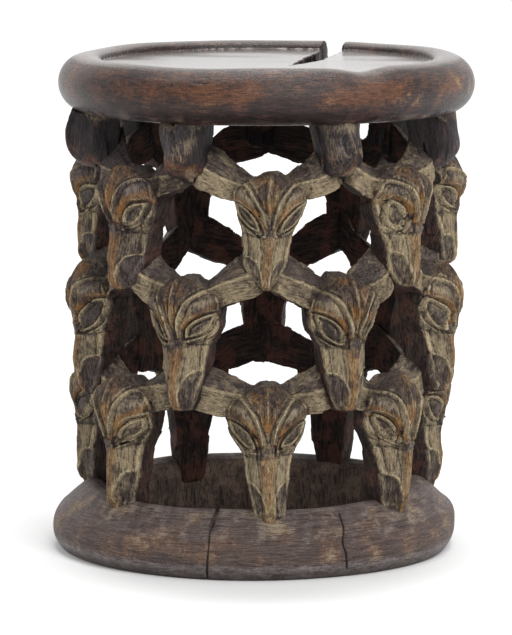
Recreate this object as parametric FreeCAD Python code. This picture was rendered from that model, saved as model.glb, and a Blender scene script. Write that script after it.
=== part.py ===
"""Round openwork stool: a dished seat carried on tiers of horned animal heads over a hollow base ring.

The drum between seat and base is a lattice. Each head hangs from its two ears, which rise to the
muzzles of the tier above, and each tier is turned half a step from the next. Short brackets under
the seat stand in the place of a topmost tier of muzzles.

Millimetres, +Z up, the floor at Z = 0. The front head faces -Y, and pieces are numbered from there,
turning towards +X.
"""
import FreeCAD, Part
import math
import os
from collections import namedtuple

from FreeCAD import Rotation, Vector

# The log that the whole stool is carved from, and the wall left round its hollowed middle. Set-ins are
# measured in from the log's surface.
LOG_RADIUS = 180.0
WALL = 52.0

# Seat: a disc as wide as the log, with a rolled rim round a shallow dish
SEAT_THICKNESS = 47.0
SEAT_UNDER_SET_IN = 17.0
RIM_CREST_SET_IN = 20.0
RIM_BULGE_HEIGHT = 25.0
DISH_SET_IN = 34.0
DISH_DEPTH = 6.0

# Split in the seat, from the back rim to past the middle, as seen from above
SPLIT_RIM_ANGLE = 161.0
SPLIT_RIM_WIDTH = 23.0
SPLIT_MIDDLE_WIDTH = 15.0
SPLIT_MIDDLE = Vector(38.0, 25.0, 0.0)
SPLIT_TIP = Vector(18.0, -42.0, 0.0)

# Base: a ring with a rounded top and outside; its crest and shoulder are shares of the way from the hollow
# to its outside
BASE_SET_IN = 4.0
BASE_FOOT_SET_IN = 12.0
BASE_HEIGHT = 56.0
BASE_BULGE_HEIGHT = 18.0
BASE_CREST_SHARE = 0.27
BASE_SHOULDER_SHARE = 0.65
BASE_SHOULDER_DROP = 11.0
BASE_INSIDE_DROP = 9.0

# The drum: how far the seat stands towards +X from the base's centre, and how far the tiers and the
# brackets were cut off the line between the two
LEAN = 11.0
TIER_SHIFT = 3.0
BRACKET_SHIFT = -3.0

# Brackets under the seat, each at its angle from the front
BRACKET_ANGLES = (26.0, 76.0, 128.0, 180.0, 232.0, 284.0, 334.0)
BRACKET_HEIGHT = 52.0
BRACKET_SET_IN = 9.0
BRACKET_NECK_SET_BACK = 8.0
BRACKET_END_SET_BACK = 9.0
BRACKET_NECK_WIDTH = 36.0
BRACKET_WIDTH = 45.0
BRACKET_END_WIDTH = 24.0
BRACKET_BELLY_TOP = 0.6
BRACKET_BELLY_FOOT = 0.3
BRACKET_FRONT_SHARE = 0.5

# Tiers of heads from the top down: the drop from the muzzle tips above to this tier's tips, the height of
# a head from its tip to its crown, the set-in of its brow, and the angle of each head. The angles were set
# out by eye, so the steps between them differ.
Tier = namedtuple("Tier", "name drop height set_in angles")
TIERS = (
    Tier("upper_head", 86.0, 98.0, 10.0, (1.0, 49.0, 99.0, 148.0, 211.0, 260.0, 309.0)),
    Tier("middle_head", 101.0, 109.0, 8.0, (27.0, 77.0, 128.0, 180.0, 232.0, 283.0, 333.0)),
    Tier("lower_head", 94.0, 113.0, 14.0, (2.0, 51.0, 102.0, 152.0, 208.0, 258.0, 307.0)),
)
LOWEST_TIP_BELOW_BASE_TOP = 6.0

# Full widths of a head's front, and of its sides where they turn back, a share of the way to the hollow
FOREHEAD_WIDTH = 32.0
BROW_FRONT_WIDTH = 22.0
NOSE_WIDTH = 9.0
CROWN_WIDTH = 46.0
TEMPLE_WIDTH = 62.0
BROW_WIDTH = 65.0
EYE_WIDTH = 57.0
CHEEK_WIDTH = 42.0
NOSTRIL_WIDTH = 37.0
TIP_WIDTH = 25.0
NOSE_RIDGE = 2.0
CHEEK_DEPTH_SHARE = 0.8
CROWN_SET_BACK = 13.0
TEMPLE_SET_BACK = 4.0
BRIDGE_SET_BACK = 6.0
NOSTRIL_SET_BACK = 2.0
TIP_SET_BACK = 6.0

# Levels on a head, as shares of its height from the tip
TEMPLE_LEVEL = 0.87
BROW_LEVEL = 0.73
EYE_CORNER_LEVEL = 0.54
BRIDGE_LEVEL = 0.36
NOSTRIL_LEVEL = 0.15

# Eyes: almond bosses on the cheeks, rising outwards
EYE_LENGTH = 27.0
EYE_HEIGHT = 14.0
EYE_STANDS_PROUD = 3.0
EYE_SLOPE = 35.0
EYE_LEVEL = 0.60

# Ears: wedge-shaped bars with a bevelled top, from the head's side to the muzzle above, set back from the
# brow by a share of the way to the hollow
EAR_ROOT_SHARE = 0.29
EAR_TIP_SHARE = 0.36
EAR_ROOT_HEIGHT = 34.0
EAR_ROOT_BEVEL = 9.0
EAR_TIP_HEIGHT = 36.0
EAR_TIP_BEVEL = 15.0
EAR_ROOT_ANGLE = 4.0

# How far raw shapes run on into what trims them
RUN_ON = 18.0

hollow_radius = LOG_RADIUS - WALL
base_radius = LOG_RADIUS - BASE_SET_IN
bracket_radius = LOG_RADIUS - BRACKET_SET_IN
lowest_tip = BASE_HEIGHT - LOWEST_TIP_BELOW_BASE_TOP
bracket_tip = lowest_tip + sum(tier.drop for tier in TIERS)
seat_under = bracket_tip + BRACKET_HEIGHT
seat_top = seat_under + SEAT_THICKNESS

# With the seat over the origin, the base stands LEAN towards -X. Both shift to centre the whole box.
low_x = min(-LOG_RADIUS, -LEAN - base_radius)
high_x = max(LOG_RADIUS, -LEAN + base_radius)
seat_x = -(low_x + high_x) / 2
base_x = seat_x - LEAN


def drum_x(z):
    """Where the axis of the leaning drum crosses the height z."""
    return base_x + LEAN * z / seat_under


def polar(radius, angle, z):
    """A point at an angle in degrees, from the front towards +X, about an axis at the origin."""
    turn = math.radians(angle)
    return Vector(radius * math.sin(turn), -radius * math.cos(turn), z)


def placed(shape, angle, x):
    """A copy turned about the vertical axis to face an angle, then set on the axis at x."""
    copy = shape.copy()
    copy.rotate(Vector(), Vector(0, 0, 1), angle)
    copy.translate(Vector(x, 0, 0))
    return copy


def loft(sections):
    """A ruled solid through closed polygons with equal counts of points."""
    wires = [Part.makePolygon(points + points[:1]) for points in sections]
    return Part.makeLoft(wires, True, True)


def turned(edges, x):
    """A solid of revolution from edges drawn in the XZ plane with X as the radius."""
    solid = Part.Face(Part.Wire(edges)).revolve(Vector(), Vector(0, 0, 1), 360)
    solid.translate(Vector(x, 0, 0))
    return solid


def line(start, end):
    return Part.makeLine(start, end)


def arc(start, through, end):
    return Part.Arc(start, through, end).toShape()


def seat():
    """The rolled rim and dish, turned in one, with the split cut through."""
    bottom = Vector(0, 0, seat_under)
    under_edge = Vector(LOG_RADIUS - SEAT_UNDER_SET_IN, 0, seat_under)
    bulge = Vector(LOG_RADIUS, 0, seat_under + RIM_BULGE_HEIGHT)
    crest = Vector(LOG_RADIUS - RIM_CREST_SET_IN, 0, seat_top)
    dish_edge = Vector(LOG_RADIUS - DISH_SET_IN, 0, seat_top - DISH_DEPTH)
    dish_middle = Vector(0, 0, seat_top - DISH_DEPTH)
    outline = [
        line(bottom, under_edge),
        arc(under_edge, bulge, crest),
        line(crest, dish_edge),
        line(dish_edge, dish_middle),
        line(dish_middle, bottom),
    ]
    return turned(outline, seat_x).cut(split())


def split():
    """The open wedge of the split, as tall as the seat."""
    rim = polar(LOG_RADIUS + RUN_ON, SPLIT_RIM_ANGLE, 0)
    along = (rim - SPLIT_TIP).normalize()
    across = Vector(along.y, -along.x, 0)
    outline = [
        SPLIT_TIP,
        SPLIT_MIDDLE + across * (SPLIT_MIDDLE_WIDTH / 2),
        rim + across * (SPLIT_RIM_WIDTH / 2),
        rim - across * (SPLIT_RIM_WIDTH / 2),
        SPLIT_MIDDLE - across * (SPLIT_MIDDLE_WIDTH / 2),
    ]
    lift = Vector(seat_x, 0, seat_under - RUN_ON)
    points = [point + lift for point in outline]
    face = Part.Face(Part.makePolygon(points + points[:1]))
    return face.extrude(Vector(0, 0, SEAT_THICKNESS + 2 * RUN_ON))


def base_ring():
    """The hollow ring that the lowest muzzles stand on."""
    width = base_radius - hollow_radius
    inner_foot = Vector(hollow_radius, 0, 0)
    inner_top = Vector(hollow_radius, 0, BASE_HEIGHT - BASE_INSIDE_DROP)
    crest = Vector(hollow_radius + BASE_CREST_SHARE * width, 0, BASE_HEIGHT)
    shoulder = Vector(hollow_radius + BASE_SHOULDER_SHARE * width, 0, BASE_HEIGHT - BASE_SHOULDER_DROP)
    bulge = Vector(base_radius, 0, BASE_BULGE_HEIGHT)
    foot = Vector(LOG_RADIUS - BASE_FOOT_SET_IN, 0, 0)
    outline = [
        line(inner_foot, inner_top),
        arc(inner_top, crest, shoulder),
        arc(shoulder, bulge, foot),
        line(foot, inner_foot),
    ]
    return turned(outline, base_x)


def brow_radius(tier):
    return LOG_RADIUS - tier.set_in


def behind_brow(tier, share):
    """The radius at a share of the way from a tier's brow back to the hollow."""
    return brow_radius(tier) - share * (brow_radius(tier) - hollow_radius)


def hollow():
    """The hollowed middle of the drum, about an axis at the origin."""
    return Part.makeCylinder(hollow_radius, seat_top, Vector())


def bracket():
    """A short bulging post under the seat, facing the front about an axis at the origin."""
    levels = (
        (seat_under, BRACKET_NECK_WIDTH, bracket_radius - BRACKET_NECK_SET_BACK),
        (bracket_tip + BRACKET_BELLY_TOP * BRACKET_HEIGHT, BRACKET_WIDTH, bracket_radius),
        (bracket_tip + BRACKET_BELLY_FOOT * BRACKET_HEIGHT, BRACKET_WIDTH, bracket_radius),
        (bracket_tip, BRACKET_END_WIDTH, bracket_radius - BRACKET_END_SET_BACK),
    )
    return loft([post_section(z, width, front) for z, width, front in levels]).cut(hollow())


def post_section(z, width, front):
    """A level section of a bracket: rounded off at the front, straight at the sides."""
    side = (front + hollow_radius) / 2
    back = hollow_radius - RUN_ON
    half = width / 2
    right = [(half * back / side, back), (half, side), (half * BRACKET_FRONT_SHARE, front)]
    left = [(-t, r) for t, r in reversed(right)]
    return [Vector(t, -r, z) for t, r in right + left]


def face_section(tier, z, front_width, width, set_back):
    """A level section of a head: a ridged front, slanting cheeks, and sides that run radially to the hollow."""
    front = brow_radius(tier) - set_back
    side = behind_brow(tier, CHEEK_DEPTH_SHARE)
    back = hollow_radius - RUN_ON
    right = [
        (width / 2 * back / side, back),
        (width / 2, side),
        (front_width / 2, front),
    ]
    left = [(-t, r) for t, r in reversed(right)]
    ridge = [(0.0, front + NOSE_RIDGE)]
    return [Vector(t, -r, z) for t, r in right + ridge + left]


def face(tier, tip, tip_runs_on):
    """The wedge of a head without its ears, from the crown down to the muzzle's tip."""
    levels = [
        (1.00, FOREHEAD_WIDTH, CROWN_WIDTH, CROWN_SET_BACK),
        (TEMPLE_LEVEL, FOREHEAD_WIDTH, TEMPLE_WIDTH, TEMPLE_SET_BACK),
        (BROW_LEVEL, BROW_FRONT_WIDTH, BROW_WIDTH, 0.0),
        (EYE_CORNER_LEVEL, NOSE_WIDTH, EYE_WIDTH, 0.0),
        (BRIDGE_LEVEL, NOSE_WIDTH, CHEEK_WIDTH, BRIDGE_SET_BACK),
        (NOSTRIL_LEVEL, NOSE_WIDTH, NOSTRIL_WIDTH, NOSTRIL_SET_BACK),
        (0.00, NOSE_WIDTH, TIP_WIDTH, TIP_SET_BACK),
    ]
    sections = [
        face_section(tier, tip + share * tier.height, front_width, width, set_back)
        for share, front_width, width, set_back in levels
    ]
    if tip_runs_on:
        sections.append(face_section(tier, tip - RUN_ON, NOSE_WIDTH, TIP_WIDTH, TIP_SET_BACK))
    return loft(sections)


def eye(tier, tip):
    """The almond boss on the right cheek: two arcs, drawn flat and stood out along the cheek."""
    z = tip + EYE_LEVEL * tier.height
    up = (EYE_LEVEL - EYE_CORNER_LEVEL) / (BROW_LEVEL - EYE_CORNER_LEVEL)
    near = (NOSE_WIDTH + up * (BROW_FRONT_WIDTH - NOSE_WIDTH)) / 2
    far = (EYE_WIDTH + up * (BROW_WIDTH - EYE_WIDTH)) / 2
    nose_side = Vector(near, -brow_radius(tier), z)
    far_side = Vector(far, -behind_brow(tier, CHEEK_DEPTH_SHARE), z)
    outwards = (far_side - nose_side).normalize()
    normal = Vector(-outwards.y, outwards.x, 0) * -1
    corner = Vector(EYE_LENGTH / 2, 0, 0)
    lid = Vector(0, EYE_HEIGHT / 2, 0)
    outline = Part.Wire([arc(corner * -1, lid, corner), arc(corner, lid * -1, corner * -1)])
    boss = Part.Face(outline).extrude(Vector(0, 0, EYE_STANDS_PROUD + EYE_HEIGHT))
    boss.rotate(Vector(), Vector(0, 0, 1), EYE_SLOPE)
    boss.translate(Vector(0, 0, -EYE_HEIGHT))
    boss.Placement = FreeCAD.Placement(
        (nose_side + far_side) / 2, Rotation(outwards, Vector(0, 0, 1), normal, "XYZ")
    ).multiply(boss.Placement)
    return boss


def ear(tier, tip, tip_above, span):
    """The right ear, lofted between two upright planes through the drum's axis, out to the angle span."""

    def section(angle, front, high, height, bevel):
        back = hollow_radius - RUN_ON
        low = high - height
        corners = [
            (back, low),
            (front, low),
            (front, high - bevel),
            (hollow_radius, high),
            (back, high),
        ]
        return [polar(radius, angle, z) for radius, z in corners]

    crown = tip + tier.height
    high_tip = tip_above + EAR_TIP_HEIGHT
    root_front = behind_brow(tier, EAR_ROOT_SHARE)
    tip_front = behind_brow(tier, EAR_TIP_SHARE)
    return loft([
        section(EAR_ROOT_ANGLE, root_front, crown, EAR_ROOT_HEIGHT, EAR_ROOT_BEVEL),
        section(span, tip_front, high_tip, EAR_TIP_HEIGHT, EAR_TIP_BEVEL),
    ])


def mirrored(shape):
    """The same shape on the other side of the head."""
    return shape.mirror(Vector(), Vector(1, 0, 0))


def head(tier, tip, tip_above, left_span, right_span, tip_runs_on):
    """A whole head facing the front, about an axis at the origin, before its neighbours trim it."""
    right_eye = eye(tier, tip)
    right_ear = ear(tier, tip, tip_above, right_span)
    left_ear = mirrored(ear(tier, tip, tip_above, left_span))
    raw = face(tier, tip, tip_runs_on)
    raw = raw.fuse([right_ear, left_ear, right_eye, mirrored(right_eye)])
    return raw.cut(hollow()).removeSplitter()


def spans(angle, angles_above):
    """How far round it is from one head to the muzzle above its left ear, and to the one above its right."""
    rights = [(above - angle) % 360 for above in angles_above]
    return 360 - max(rights), min(rights)


def save(shape, node):
    """Writes one closed solid as one file, and prints its volume."""
    solids = shape.Solids
    if len(solids) != 1 or not solids[0].isValid():
        raise RuntimeError(f"{node} has {len(solids)} solids, or one that isn't valid")
    solids[0].exportStep(os.path.join("parts", node + ".step"))
    print(f"{node}: {solids[0].Volume / 1000:.1f} cm3")


def main():
    os.makedirs("parts", exist_ok=True)
    base = base_ring()
    save(seat(), "seat")
    save(base, "base_ring")

    bracket_shape = bracket()
    above = [placed(bracket_shape, angle, drum_x(seat_under) + BRACKET_SHIFT) for angle in BRACKET_ANGLES]
    for number, shape in enumerate(above, 1):
        save(shape, f"seat_bracket_{number}")

    tip_above = bracket_tip
    angles_above = BRACKET_ANGLES
    for tier in TIERS:
        lowest = tier is TIERS[-1]
        tip = tip_above - tier.drop
        x = drum_x(tip + tier.height / 2) + TIER_SHIFT
        heads = []
        for number, angle in enumerate(tier.angles, 1):
            left_span, right_span = spans(angle, angles_above)
            raw = head(tier, tip, tip_above, left_span, right_span, lowest)
            heads.append(placed(raw, angle, x))
            trimmed = heads[-1].cut(above + [base] if lowest else above)
            save(trimmed, f"{tier.name}_{number}")
        above = heads
        tip_above = tip
        angles_above = tier.angles


main()
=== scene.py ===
"""Looks of the openwork stool: every carved member as a sculpted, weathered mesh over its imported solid.

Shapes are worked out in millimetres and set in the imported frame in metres. Angles turn from the front (-Y)
towards +X. A head is sculpted facing the front as a field that is below zero inside the wood, from x across,
y outwards from the drum's axis and h above the muzzle's tip, and is then turned to its place.
"""

import math
from collections import namedtuple

import bpy
import numpy as np
import openvdb
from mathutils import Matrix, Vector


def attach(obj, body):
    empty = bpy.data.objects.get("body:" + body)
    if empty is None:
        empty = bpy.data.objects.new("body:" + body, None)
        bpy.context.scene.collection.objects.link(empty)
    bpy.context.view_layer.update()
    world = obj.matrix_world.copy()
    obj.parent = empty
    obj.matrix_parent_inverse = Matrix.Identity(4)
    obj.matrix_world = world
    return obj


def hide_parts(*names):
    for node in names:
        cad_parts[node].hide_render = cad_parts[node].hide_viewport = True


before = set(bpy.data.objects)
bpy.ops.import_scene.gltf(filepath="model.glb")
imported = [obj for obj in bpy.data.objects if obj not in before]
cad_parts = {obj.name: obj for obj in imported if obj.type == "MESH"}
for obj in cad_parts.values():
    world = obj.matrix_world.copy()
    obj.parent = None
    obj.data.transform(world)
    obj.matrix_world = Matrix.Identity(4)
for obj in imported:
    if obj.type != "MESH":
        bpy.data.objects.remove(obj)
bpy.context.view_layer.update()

MM = 0.001
SEED = 41

# The log, its hollow, and the seat and base
LOG_RADIUS = 180.0
HOLLOW_RADIUS = 128.0
BASE_RADIUS = 176.0
BASE_HEIGHT = 56.0
SEAT_THICKNESS = 47.0
BRACKET_HEIGHT = 52.0
LEAN = 11.0
TIER_SHIFT = 3.0
BRACKET_SHIFT = -3.0
LOWEST_TIP = 50.0

# Tiers from the top down: drop from the tips above, height, radius and half width of the brow, angles
Tier = namedtuple("Tier", "name drop height brow half angles")
TIERS = (
    Tier("upper_head", 86.0, 98.0, 170.0, 30.0, (1.0, 49.0, 99.0, 148.0, 211.0, 260.0, 309.0)),
    Tier("middle_head", 101.0, 109.0, 172.0, 33.0, (27.0, 77.0, 128.0, 180.0, 232.0, 283.0, 333.0)),
    Tier("lower_head", 94.0, 113.0, 166.0, 34.0, (2.0, 51.0, 102.0, 152.0, 208.0, 258.0, 307.0)),
)
BRACKET_ANGLES = (26.0, 76.0, 128.0, 180.0, 232.0, 284.0, 334.0)

# Half widths of a head's outline by level, as shares of the head's height and of its brow's half width
OUTLINE_LEVELS = (
    -0.2, 0.0, 0.04, 0.10, 0.18, 0.30, 0.40, 0.47, 0.53, 0.61, 0.70, 0.78, 0.85, 0.91, 0.96, 1.0, 1.1)
OUTLINES = {
    "upper_head": (
        0.05, 0.10, 0.24, 0.42, 0.57, 0.64, 0.66, 0.70, 0.78, 0.90, 0.97, 1.0, 0.94, 0.72, 0.45, 0.30, 0.2),
    "middle_head": (
        0.25, 0.36, 0.43, 0.50, 0.55, 0.59, 0.62, 0.66, 0.76, 0.91, 0.97, 1.0, 0.93, 0.69, 0.44, 0.30, 0.2),
    "lower_head": (
        0.34, 0.40, 0.43, 0.47, 0.52, 0.57, 0.60, 0.65, 0.75, 0.91, 0.97, 1.0, 0.93, 0.68, 0.43, 0.29, 0.2),
}

# Where the wood of a muzzle ends, above its tip
MUZZLE_ENDS = {"upper_head": 0.5, "middle_head": -3.0, "lower_head": -16.0}

# Down the middle of the face: how far the front is set back, how far the cheeks fall away, how sharply
PROFILE_LEVELS = (-0.2, 0.0, 0.08, 0.20, 0.32, 0.44, 0.54, 0.64, 0.75, 0.86, 0.93, 1.0, 1.1)
FRONT_SET_BACK = (15.0, 11.5, 8.0, 6.0, 6.2, 6.8, 3.8, 0.5, -1.0, 1.0, 5.0, 10.5, 16.0)
CHEEK_FALL = (11.0, 12.0, 15.0, 18.0, 21.0, 23.0, 29.0, 33.0, 33.0, 28.0, 21.0, 14.0, 10.0)
CHEEK_POWER = (1.8, 1.8, 1.7, 1.6, 1.6, 1.7, 1.8, 1.9, 2.0, 2.1, 2.1, 2.0, 2.0)

# Half width of the nose by level, in the same shares as the outline
NOSE_LEVELS = (-0.2, 0.1, 0.3, 0.45, 0.58, 0.7)
NOSE_HALF = (0.10, 0.13, 0.13, 0.18, 0.15, 0.08)

# Lines of the carved face, as shares of the brow's half width and of the height
BROW_RIB = (
    (1.02, 0.775), (0.98, 0.83), (0.88, 0.885), (0.70, 0.912), (0.50, 0.868), (0.33, 0.785), (0.17, 0.665),
    (0.11, 0.565))
FOREHEAD_RIB = ((0.0, 1.0), (0.0, 0.86), (0.0, 0.70))
MUZZLE_LINE = ((0.14, 0.452), (0.35, 0.466), (0.66, 0.478))
NOSTRIL_LINE = ((0.58, 0.29), (0.36, 0.27), (0.22, 0.215), (0.13, 0.12), (0.10, 0.03))
LID_LINE = ((1.0, 0.765), (0.70, 0.722), (0.46, 0.652), (0.26, 0.535))

# Ribs with a groove beside them: how high they stand, how deep the groove is and how far off it runs
RibCut = namedtuple("RibCut", "height groove beside")
BROW_CUT = RibCut(2.5, 1.7, 2.9)
FOREHEAD_CUT = RibCut(2.0, 1.2, 3.2)
NOSE_CUT = RibCut(2.8, 1.2, 2.0)

# Other cuts in a face
BROW_PAD = 4.0
MUZZLE_GROOVE = 1.5
NOSTRIL_DEPTH = 2.2
NOSTRIL_RIB = 1.4
CHEEK_GROOVE = 1.6
CHEEK_GROOVE_AT = 4.0

# Eyes: almonds that slope down to the nose, at a level that is a share of the height. Their sizes are for a
# brow whose half width is EYE_FOR_HALF.
EYE_LEVEL = 0.615
EYE_SLOPE = 47.0
EYE_HALF_LENGTH = 21.0
EYE_HALF_HEIGHT = 7.6
EYE_FOR_HALF = 34.0
SOCKET_DEPTH = 2.5

# How far the wood stands out by distance from the eye's outline, from the lens inside to the cheek outside
EYE_PROFILE_AT = (
    -9.0, -6.4, -5.2, -4.4, -3.8, -3.2, -2.4, -1.5, -0.9, -0.2, 0.5, 1.2, 1.9, 2.6, 3.6, 6.0)
EYE_PROFILE = (3.2, 2.8, 2.0, 0.4, -1.5, -1.6, 0.7, 1.9, 1.4, -1.5, -1.7, 0.5, 2.2, 2.0, 0.3, 0.0)
LENS_GROOVE = -3.5
LID_RIM = -1.5
LID_GROOVE = 0.2
SOCKET_RIM = 2.1

# Ears: degrees from the nose to root and end, level of the underside as a share of the height, levels of the
# edges from the crown at the root and from the tips above at the end, and set-back of the front from the brow
EAR_ROOT = 8.0
EAR_SPAN = 26.0
EAR_UNDER = 0.73
EAR_EDGE_START = -9.0
EAR_EDGE_END = 20.0
EAR_BACK_START = 2.0
EAR_BACK_END = 42.0
EAR_SET_BACK = 25.0

# How one face was cut: its eyes, the strength of its brow, nose and forehead, and waves that its lines follow
Carving = namedtuple(
    "Carving", "eye_across eye_slope eye_level eye_size eye_spread brow nose forehead wander")
PLAIN = Carving(0.57, 0.0, 0.0, 1.0, 1.0, 1.0, 1.0, 1.0, ())
WANDER = 0.6
WANDER_LENGTH = 26.0

seat_under = LOWEST_TIP + sum(tier.drop for tier in TIERS) + BRACKET_HEIGHT
seat_x = (LEAN - LOG_RADIUS + BASE_RADIUS) / 2
base_x = seat_x - LEAN


def drum_x(z):
    """Where the axis of the leaning drum crosses the height z."""
    return base_x + LEAN * z / seat_under


# Field helpers

def soft_min(a, b, k):
    share = np.clip(0.5 + 0.5 * (b - a) / k, 0.0, 1.0)
    return b + (a - b) * share - k * share * (1.0 - share)


def soft_max(a, b, k):
    return -soft_min(-a, -b, k)


def fade(value, start, end):
    """A smooth step from 0 at start to 1 at end."""
    share = np.clip((value - start) / (end - start), 0.0, 1.0)
    return share * share * (3.0 - 2.0 * share)


def bump(value, width):
    return np.exp(-(value / width) ** 2)


def curve(at, levels, values):
    """A smooth curve through values at rising levels."""
    levels = np.asarray(levels, float)
    values = np.asarray(values, float)
    slopes = np.gradient(values, levels)
    at = np.clip(at, levels[0], levels[-1])
    low = np.clip(np.searchsorted(levels, at) - 1, 0, len(levels) - 2)
    step = levels[low + 1] - levels[low]
    t = (at - levels[low]) / step
    rise = t * t * (3.0 - 2.0 * t)
    start = values[low] + (values[low + 1] - values[low]) * rise
    return start + step * (slopes[low] * t * (1.0 - t) ** 2 - slopes[low + 1] * t * t * (1.0 - t))


def rounded(points, steps=4):
    """More points along a smooth line through the given ones."""
    points = np.asarray(points, float)
    at = np.arange(len(points), dtype=float)
    fine = np.linspace(0.0, len(points) - 1.0, (len(points) - 1) * steps + 1)
    return np.stack([curve(fine, at, points[:, 0]), curve(fine, at, points[:, 1])], axis=1)


def line_distance(x, h, points):
    """Distance in the plane of the face to a line of points."""
    nearest = np.full(np.broadcast(x, h).shape, 1000.0)
    for start, end in zip(points, points[1:]):
        dx, dh = end - start
        along = np.clip(((x - start[0]) * dx + (h - start[1]) * dh) / (dx * dx + dh * dh), 0.0, 1.0)
        nearest = np.minimum(nearest, np.hypot(x - start[0] - along * dx, h - start[1] - along * dh))
    return nearest


class Waves:
    """Smooth seeded noise: a sum of sine waves in random directions, about -1 to 1."""

    def __init__(self, seed, length, count=7):
        rng = np.random.default_rng(seed)
        turns = rng.normal(size=(count, 3))
        turns /= np.linalg.norm(turns, axis=1)[:, None]
        self.turns = turns * (2.0 * math.pi / length) * rng.uniform(0.7, 1.4, (count, 1))
        self.starts = rng.uniform(0.0, 2.0 * math.pi, count)
        self.scale = math.sqrt(2.0 / count) * 0.7

    def at(self, x, y, z):
        total = 0.0
        for (kx, ky, kz), start in zip(self.turns, self.starts):
            total = total + np.sin(kx * x + ky * y + kz * z + start)
        return total * self.scale


# Flat tool cuts: the slope that a tilt of 1 gives, the step between cuts, and the tilt of broad ones
FACET_SLOPE = 3.4
FACET_STEP = 1.2
BROAD_TILT = 0.05


def scattered(cells, seed, count):
    """Numbers from 0 to 1 that look random, the same each time for the same whole-number cell and seed."""
    mixed = (cells * np.array((73856093, 19349663, 83492791))).sum(1) + seed * 2654435761
    numbers = []
    for turn in range(count):
        mixed = (mixed ^ (mixed >> 13)) * 1274126177 + turn * 668265263 & 0xFFFFFFFF
        numbers.append((mixed >> 7 & 0xFFFF) / 65535.0)
    return np.stack(numbers, axis=1)


def facets(points, seed, size, tilt):
    """Heights of flat tool cuts: each point takes the tilted plane of the nearest scattered centre."""
    size = np.asarray(size)
    home = np.floor(points / size).astype(np.int64)
    nearest = np.full(len(points), 1e9)
    heights = np.zeros(len(points))
    for step in np.ndindex(3, 3, 3):
        cells = home + np.array(step) - 1
        numbers = scattered(cells, seed, 7)
        away = points - (cells + numbers[:, :3]) * size
        distance = ((away / size) ** 2).sum(1)
        tilted = (away * (numbers[:, 3:6] - 0.5)).sum(1) * FACET_SLOPE * tilt
        height = tilted + (numbers[:, 6] - 0.5) * FACET_STEP
        heights = np.where(distance < nearest, height, heights)
        nearest = np.minimum(nearest, distance)
    return heights


# How a member was hewn: length and size of its slow waves, size of its broad tool cuts, and share, size and
# tilt of its fine ones
Tools = namedtuple("Tools", "wave drift broad share fine tilt")
HEAD_TOOLS = Tools(48.0, (1.1, 0.9, 1.3), (11.0, 11.0, 17.0), 0.35, (4.0, 4.0, 6.0), 0.06)
BRACKET_TOOLS = Tools(40.0, 1.6, (18.0, 18.0, 60.0), 0.25, (5.0, 5.0, 9.0), 0.05)


def hewn(points, normals, seed, tools, depth):
    """Points shifted by slow waves and by tool cuts, with the broad cuts as deep as given."""
    drift = np.stack([Waves(seed * 3 + i, tools.wave).at(*points.T) for i in range(3)], axis=1) * tools.drift
    cuts = facets(points, seed, tools.broad, BROAD_TILT) * depth
    cuts = cuts + tools.share * facets(points, seed + 7, tools.fine, tools.tilt)
    return points + drift + normals * cuts[:, None]


# Surfaces from fields

def spaced(pieces):
    """Grid coordinates that run through (start, step) pieces up to the last start."""
    runs = []
    for (start, step), (end, _) in zip(pieces, pieces[1:]):
        runs.append(np.linspace(start, end, max(int(round((end - start) / step)), 1), endpoint=False))
    return np.concatenate(runs + [[pieces[-1][0]]])


def surface(field, axes):
    """Points and quads of the zero surface of a field over a grid of three coordinate lists."""
    gx, gy, gz = axes
    values = field(gx[:, None, None], gy[None, :, None], gz[None, None, :])
    values = np.ascontiguousarray(np.broadcast_to(values, (len(gx), len(gy), len(gz))), dtype=np.float32)
    grid = openvdb.FloatGrid()
    grid.copyFromArray(values)
    points, quads = grid.convertToQuads()
    points = np.asarray(points, float)
    placed = [np.interp(points[:, i], np.arange(len(axis)), axis) for i, axis in enumerate(axes)]
    return np.stack(placed, axis=1), np.asarray(quads, int)


def slope_of(field, points, step=0.2):
    """Value and gradient of a field at points."""
    value = field(*points.T)
    slopes = []
    for axis in range(3):
        moved = points.copy()
        moved[:, axis] += step
        slopes.append((field(*moved.T) - value) / step)
    return value, np.stack(slopes, axis=1)


def settled(points, field, rounds=3, reach=0.7):
    """Points drawn on to the exact zero surface of a field."""
    points = points.copy()
    for _ in range(rounds):
        value, slope = slope_of(field, points)
        steep = np.maximum((slope * slope).sum(1), 0.05)
        move = -slope * (value / steep)[:, None]
        length = np.linalg.norm(move, axis=1)
        points += move * np.minimum(1.0, reach / np.maximum(length, 1e-9))[:, None]
    return points


def outward(points, quads):
    """Unit normals of the points, and the quads wound to match."""
    a, b, c, d = (points[quads[:, i]] for i in range(4))
    flat = np.cross(c - a, d - b)
    if (flat * (a + b + c + d)).sum() < 0:
        quads = quads[:, ::-1]
        flat = -flat
    normals = np.zeros_like(points)
    for i in range(4):
        np.add.at(normals, quads[:, i], flat)
    return normals / np.maximum(np.linalg.norm(normals, axis=1), 1e-9)[:, None], quads


def sculpted(field, axes):
    """Points on the zero surface of a field, their normals, and the quads."""
    points, quads = surface(field, axes)
    points = settled(points, field)
    normals, quads = outward(points, quads)
    return points, normals, quads


def facing_out(points, normals):
    """How squarely the surface faces away from the drum's axis, from -1 to 1."""
    x, y, _ = points.T
    return (normals[:, 0] * x + normals[:, 1] * y) / np.hypot(x, y)


def bulging(points, quads, normals, rounds):
    """How far each point stands out from its neighbours after some rounds of spreading, in millimetres."""
    edges = np.concatenate([quads[:, [i, (i + 1) % 4]] for i in range(4)])
    edges = np.concatenate([edges, edges[:, ::-1]])
    count = np.bincount(edges[:, 0], minlength=len(points))[:, None]
    spread = points
    for _ in range(rounds):
        total = [np.bincount(edges[:, 0], spread[edges[:, 1], i], len(points)) for i in range(3)]
        spread = np.stack(total, axis=1) / np.maximum(count, 1)
    return ((points - spread) * normals).sum(1)


# Heads

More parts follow.
